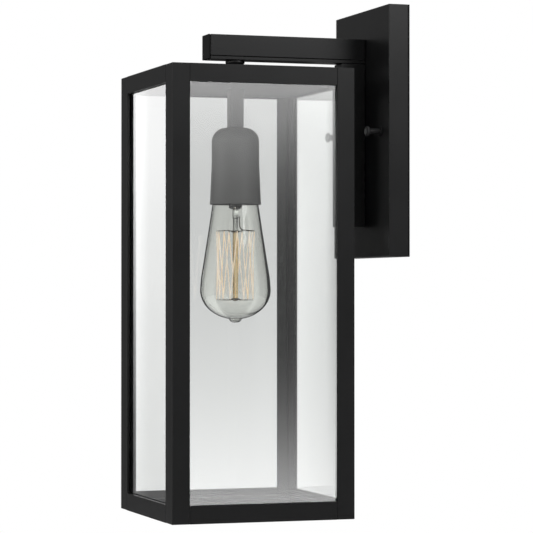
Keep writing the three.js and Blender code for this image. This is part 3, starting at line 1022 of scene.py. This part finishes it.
# (radius, z) in mm: rod end, bead, neck and hollow flare of the stem, then its amber rod
press = [
    (0, -82.0),
    (2.1, -82.0),
    (2.0, -71.4),
    (2.5, -70.6),
    (3.1, -70.1),
    (3.2, -69.4),
    (3.2, -65.2),
    (3.0, -64.5),
    (2.3, -63.9),
    (3.4, -63.4),
    (5.0, -62.9),
    (5.3, -62.2),
    (5.4, -58.0),
    (6.2, -50.0),
    (8.5, -45.5),
    (7.6, -45.5),
    (5.3, -50.0),
    (4.5, -58.0),
    (4.2, -61.4),
    (3.0, -62.2),
    (0, -62.4),
]
rod = [(0, -139.0), (1.5, -138.9), (2.1, -138.2), (2.2, -136.0), (2.2, -82.1), (0, -82.1)]


def pinched(radius, z, angle):
    """The bead is squeezed flat where the leads pass through it."""
    flat = 0.75 if -70.5 * MM < z < -64 * MM else 1.0
    return Vector((radius * math.cos(angle), radius * math.sin(angle) * flat, z))


piece(
    "bulb_stem",
    lathe([(a * MM, b * MM) for a, b in press], ON_AXIS, 48, pinched),
    "bulb",
    stem_clear,
    ["filament_glass_stem"],
    50,
)

piece(
    "bulb_rod",
    lathe([(a * MM, b * MM) for a, b in rod], ON_AXIS, 40),
    "bulb",
    amber_clear,
    ["filament_glass_stem"],
    50,
)

# how many strands, and in degrees where the first one is tied and how far round they all go
STRANDS, FIRST_ANGLE, SPAN = 16, 100, 330
STRAND_RADIUS, HOOK_RADIUS, LEAD_RADIUS = 0.45 * MM, 0.2 * MM, 0.25 * MM
BOW = 0.5 * MM  # how far a strand bows in at its middle
low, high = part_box("filament")
TOP, BOTTOM, HOOP = high.z, low.z, 15.6 * MM
anchors = []
for i in range(STRANDS + 1):
    angle = math.radians(FIRST_ANGLE + SPAN * i / STRANDS)
    z = TOP if i % 2 == 0 else BOTTOM
    anchors.append(ON_AXIS @ around(HOOP, angle, z))

bm = bmesh.new()
for a, b in zip(anchors, anchors[1:]):
    middle = (a + b) / 2
    inward = Vector((axis.x, axis.y, middle.z)) - middle
    line = curved([a, middle + inward.normalized() * BOW, b], 10)
    swept(line, STRAND_RADIUS, 8, bm)
piece("bulb_filament", bm, "bulb", carbon, ["filament"], 60)

for name, node, z, hang in (
    ("bulb_upper_hooks", "filament_support_upper", TOP, -1),
    ("bulb_lower_hooks", "filament_support_lower", BOTTOM, 1),
):
    band = [(2.4, -0.8), (3.4, -0.5), (3.4, 0.5), (2.4, 0.8)]
    band = rounded([(r * MM, z + up * MM) for r, up in band], 0.2 * MM)
    bm = lathe([*band, band[0]], ON_AXIS, 32)
    for anchor in (p for p in anchors if abs(p.z - z) < 0.1 * MM):
        out = Vector((anchor.x - axis.x, anchor.y - axis.y, 0)).normalized()
        hub = Vector((axis.x, axis.y, z))
        rise = Vector((0, 0, hang * 0.5 * MM))
        route = [
            hub + out * 3.0 * MM,
            hub + out * 8.0 * MM - rise * 1.5,
            hub + out * 13.6 * MM - rise,
            hub + out * 15.3 * MM - rise * 1.2,
            hub + out * 15.6 * MM + rise * 0.2,
            hub + out * 15.0 * MM + rise * 0.9,
        ]
        swept(curved(route, 4), HOOK_RADIUS, 6, bm)
    piece(name, bm, "bulb", support_wire, [node], 60)

for letter, end in (("a", anchors[0]), ("b", anchors[-1])):
    out = Vector((end.x - axis.x, end.y - axis.y, 0)).normalized()
    hub = Vector((axis.x, axis.y, end.z))
    up = Vector((0, 0, MM))
    route = [
        hub + out * 3.4 * MM + up * 12.4,
        hub + out * 3.5 * MM + up * 7.0,
        hub + out * 4.2 * MM + up * 3.2,
        hub + out * 7.0 * MM + up * 1.4,
        hub + out * 15.0 * MM + up * 0.8,
    ]
    piece(
        f"bulb_lead_{letter}",
        swept(curved(route, 5), LEAD_RADIUS, 8),
        "bulb",
        solder,
        [f"lead_in_wire_{letter}"],
        60,
    )


# ------------------------------------------------------------------ floor screws

for side in ("left", "right"):
    low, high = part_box(f"floor_screw_{side}")
    middle = (low + high) / 2
    head = (high.x - low.x) / 2
    top, under = high.z, low.z + 2.4 * MM
    outline = [
        (0, low.z),
        (head * 0.85, low.z),
        (head, low.z + 0.5 * MM),
        (head, under - 0.5 * MM),
        (head * 0.85, under),
        (1.9 * MM, under),
        (1.9 * MM, top - 0.5 * MM),
        (1.4 * MM, top),
        (0, top),
    ]
    grip = knurled(head, 0.22 * MM, 36)
    made = lathe(rounded(outline, 0.3 * MM), at(middle.x, middle.y), 144, grip)
    screw = piece(
        f"floor_thumbscrew_{side}",
        made,
        body_of(f"floor_screw_{side}"),
        dark_zinc,
        [f"floor_screw_{side}"],
        40,
    )
    carve(
        screw,
        Vector((middle.x - head - MM, middle.y - 0.5 * MM, low.z - MM)),
        Vector((middle.x + head + MM, middle.y + 0.5 * MM, low.z + 0.9 * MM)),
    )


# ------------------------------------------------------------------ studio

world = bpy.data.worlds.new("studio")
bpy.context.scene.world = world
world.use_nodes = True
g = Graph(world.node_tree)
way = g.add("ShaderNodeSeparateXYZ", {0: g.add("ShaderNodeTexCoord").outputs["Generated"]})
path = g.add("ShaderNodeLightPath")
# what is seen through the glass: a pale backdrop, a little deeper above and below
backdrop = g.levels(
    way.outputs["Z"],
    [
        (-0.3, 0.5),
        (-0.085, 0.67),
        (-0.055, 0.785),
        (0, 0.71),
        (0.04, 0.65),
        (0.085, 0.55),
        (0.3, 0.45),
    ],
)
across = g.math(
    "ADD",
    g.math("MULTIPLY", way.outputs["X"], 0.32),
    g.math("MULTIPLY", way.outputs["Y"], 0.947),
)
# on the far left it is brighter low down and dimmer high up
low_left = g.math(
    "MULTIPLY",
    g.spread(across, -0.042, -0.036, 1, 0),
    g.spread(way.outputs["Z"], -0.085, 0.085, 0.53, -0.18),
)
# right of the middle it is brighter from mid height down
right = g.math(
    "MULTIPLY", g.spread(across, 0.006, 0.011), g.spread(across, 0.013, 0.025, 0.17, -0.02)
)
right = g.math("MULTIPLY", right, g.spread(way.outputs["Z"], 0.02, 0.07, 1, -0.2))
backdrop = g.math("ADD", g.math("ADD", backdrop, low_left), right)
# what the paint mirrors: light from the right, in front and above, and a dark room to the left
side = g.levels(way.outputs["X"], [(-1, 0.1), (-0.3, 0.1), (0.5, 0.3), (1, 0.3)])
front = g.levels(way.outputs["Y"], [(-1, 0.9), (-0.85, 0.5), (-0.6, 0.17), (-0.3, 0), (1, 0)])
room = g.math(
    "MULTIPLY",
    g.math("ADD", side, front),
    g.spread(way.outputs["Z"], -0.5, 0.5, 0.5, 1.5, smooth=True),
)
bounces = g.math("ADD", path.outputs["Glossy Depth"], path.outputs["Diffuse Depth"])
through_glass = g.math("SUBTRACT", path.outputs["Is Transmission Ray"], bounces, clamp=True)
unseen = g.choose(through_glass, room, backdrop)
seen = g.choose(path.outputs["Is Camera Ray"], unseen, 1.0)
sky = g.add("ShaderNodeBackground", {"Color": (1, 1, 1, 1), "Strength": seen})
g.tree.links.new(sky.outputs[0], g.add("ShaderNodeOutputWorld").inputs[0])


def lamp(name, place, aim, size, power):
    data = bpy.data.lights.new(name, "AREA")
    data.shape = "RECTANGLE"
    data.size, data.size_y = size
    data.energy = power
    made = bpy.data.objects.new(name, data)
    bpy.context.scene.collection.objects.link(made)
    made.location = place
    made.rotation_mode = "QUATERNION"
    made.rotation_quaternion = (Vector(aim) - Vector(place)).to_track_quat("-Z", "Y")


lamp("overhead", (0.5, -0.3, 1.5), (0, -0.12, -0.1), (1.2, 1.2), 5)
lamp("high_right", (0.92, 0.36, 0.45), (0, -0.12, 0.0), (0.5, 0.4), 2.0)

# A ring of soft light round the object, which only clean reflections in glass see.
RING, RING_TOP, RING_FOOT, RING_SIDES = 1.5, 1.2, -1.5, 96
RING_MIDDLE = Vector((0, -0.13, -0.125))
STRIP_Y = -0.565
bm = bmesh.new()
turns = [TAU * i / RING_SIDES for i in range(RING_SIDES)]
lower = [bm.verts.new(ON_AXIS @ around(RING, turn, RING_FOOT)) for turn in turns]
upper = [bm.verts.new(v.co + Vector((0, 0, RING_TOP - RING_FOOT))) for v in lower]
bridge(bm, lower, upper)
mesh = bpy.data.meshes.new("light_ring")
bm.to_mesh(mesh)
bm.free()
ring = bpy.data.objects.new("light_ring", mesh)
bpy.context.scene.collection.objects.link(ring)
ring.visible_camera = False
ring.visible_shadow = False
soft = bpy.data.materials.new("light_ring")
soft.use_nodes = True
g = Graph(soft.node_tree)
where = g.add("ShaderNodeSeparateXYZ", {0: g.add("ShaderNodeNewGeometry").outputs["Position"]})
path = g.add("ShaderNodeLightPath")
clean = g.math(
    "MULTIPLY", path.outputs["Is Singular Ray"], path.outputs["Glossy Depth"], clamp=True
)
outer_face = g.math("SUBTRACT", 1, path.outputs["Transmission Depth"], clamp=True)
# towards the wall side it grows away from the lantern's middle, and drops 0.3 m above and below
away = g.off_centre(where.outputs["Z"], RING_MIDDLE.z)
bands = g.math("ADD", g.math("MULTIPLY", g.math("POWER", away, 3), 330), 0.75)
bands = g.math("MULTIPLY", bands, g.spread(away, 0.3, 0.36, 1, 0.12))
bands = g.math("MULTIPLY", bands, g.spread(where.outputs["X"], 1.0, 1.25, 0.4, 1))
bands = g.math("MULTIPLY", g.math("MINIMUM", bands, 9), outer_face)
# towards the front it is one light above that fades downwards
fade = g.levels(
    where.outputs["Z"],
    [(-0.45, 0.42), (-0.3, 0.58), (-0.14, 1.35), (0, 2.2), (0.15, 3.1), (0.4, 3.1)],
)
# glass behind glass sees one tall strip of it, and its two far sides
strip = g.spread(g.off_centre(where.outputs["Y"], STRIP_Y), 0.025, 0.04, 1, 0)
sides = g.spread(g.off_centre(where.outputs["Y"], RING_MIDDLE.y), 0.65, 0.75)
sides = g.math("MULTIPLY", sides, g.spread(where.outputs["Y"], -0.5, 0.5, 0.3, 1))
inner = g.math(
    "MULTIPLY", g.spread(where.outputs["Z"], -0.5, 0, 0.3, 1.35), g.math("ADD", strip, sides)
)
toward_wall = g.spread(where.outputs["Y"], -0.3, 0.2, 0, 1, smooth=True)
level = g.choose(toward_wall, g.choose(outer_face, inner, fade), bands)
glow = g.add("ShaderNodeEmission", {"Strength": level})
unlit = g.add("ShaderNodeBsdfTransparent")
seen = g.add("ShaderNodeMixShader", {0: clean, 1: unlit.outputs[0], 2: glow.outputs[0]})
g.tree.links.new(seen.outputs[0], g.add("ShaderNodeOutputMaterial").inputs[0])
soft.cycles.emission_sampling = "NONE"
mesh.materials.append(soft)

# pale floor
FLOOR_RADIUS, FLOOR_PLACE = 2.4, at(0, -0.13, -0.62)
bm = bmesh.new()
bmesh.ops.create_circle(
    bm, cap_ends=True, segments=96, radius=FLOOR_RADIUS, matrix=FLOOR_PLACE
)
mesh = bpy.data.meshes.new("floor_of_studio")
bm.to_mesh(mesh)
bm.free()
ground_plane = bpy.data.objects.new("floor_of_studio", mesh)
bpy.context.scene.collection.objects.link(ground_plane)


def plain(g):
    cloud = g.noise(0.8, 3)
    return {"Base Color": g.mix(cloud, (0.86, 0.86, 0.86), (0.9, 0.9, 0.9))}


mesh.materials.append(material("pale_floor", plain, Roughness=0.9))
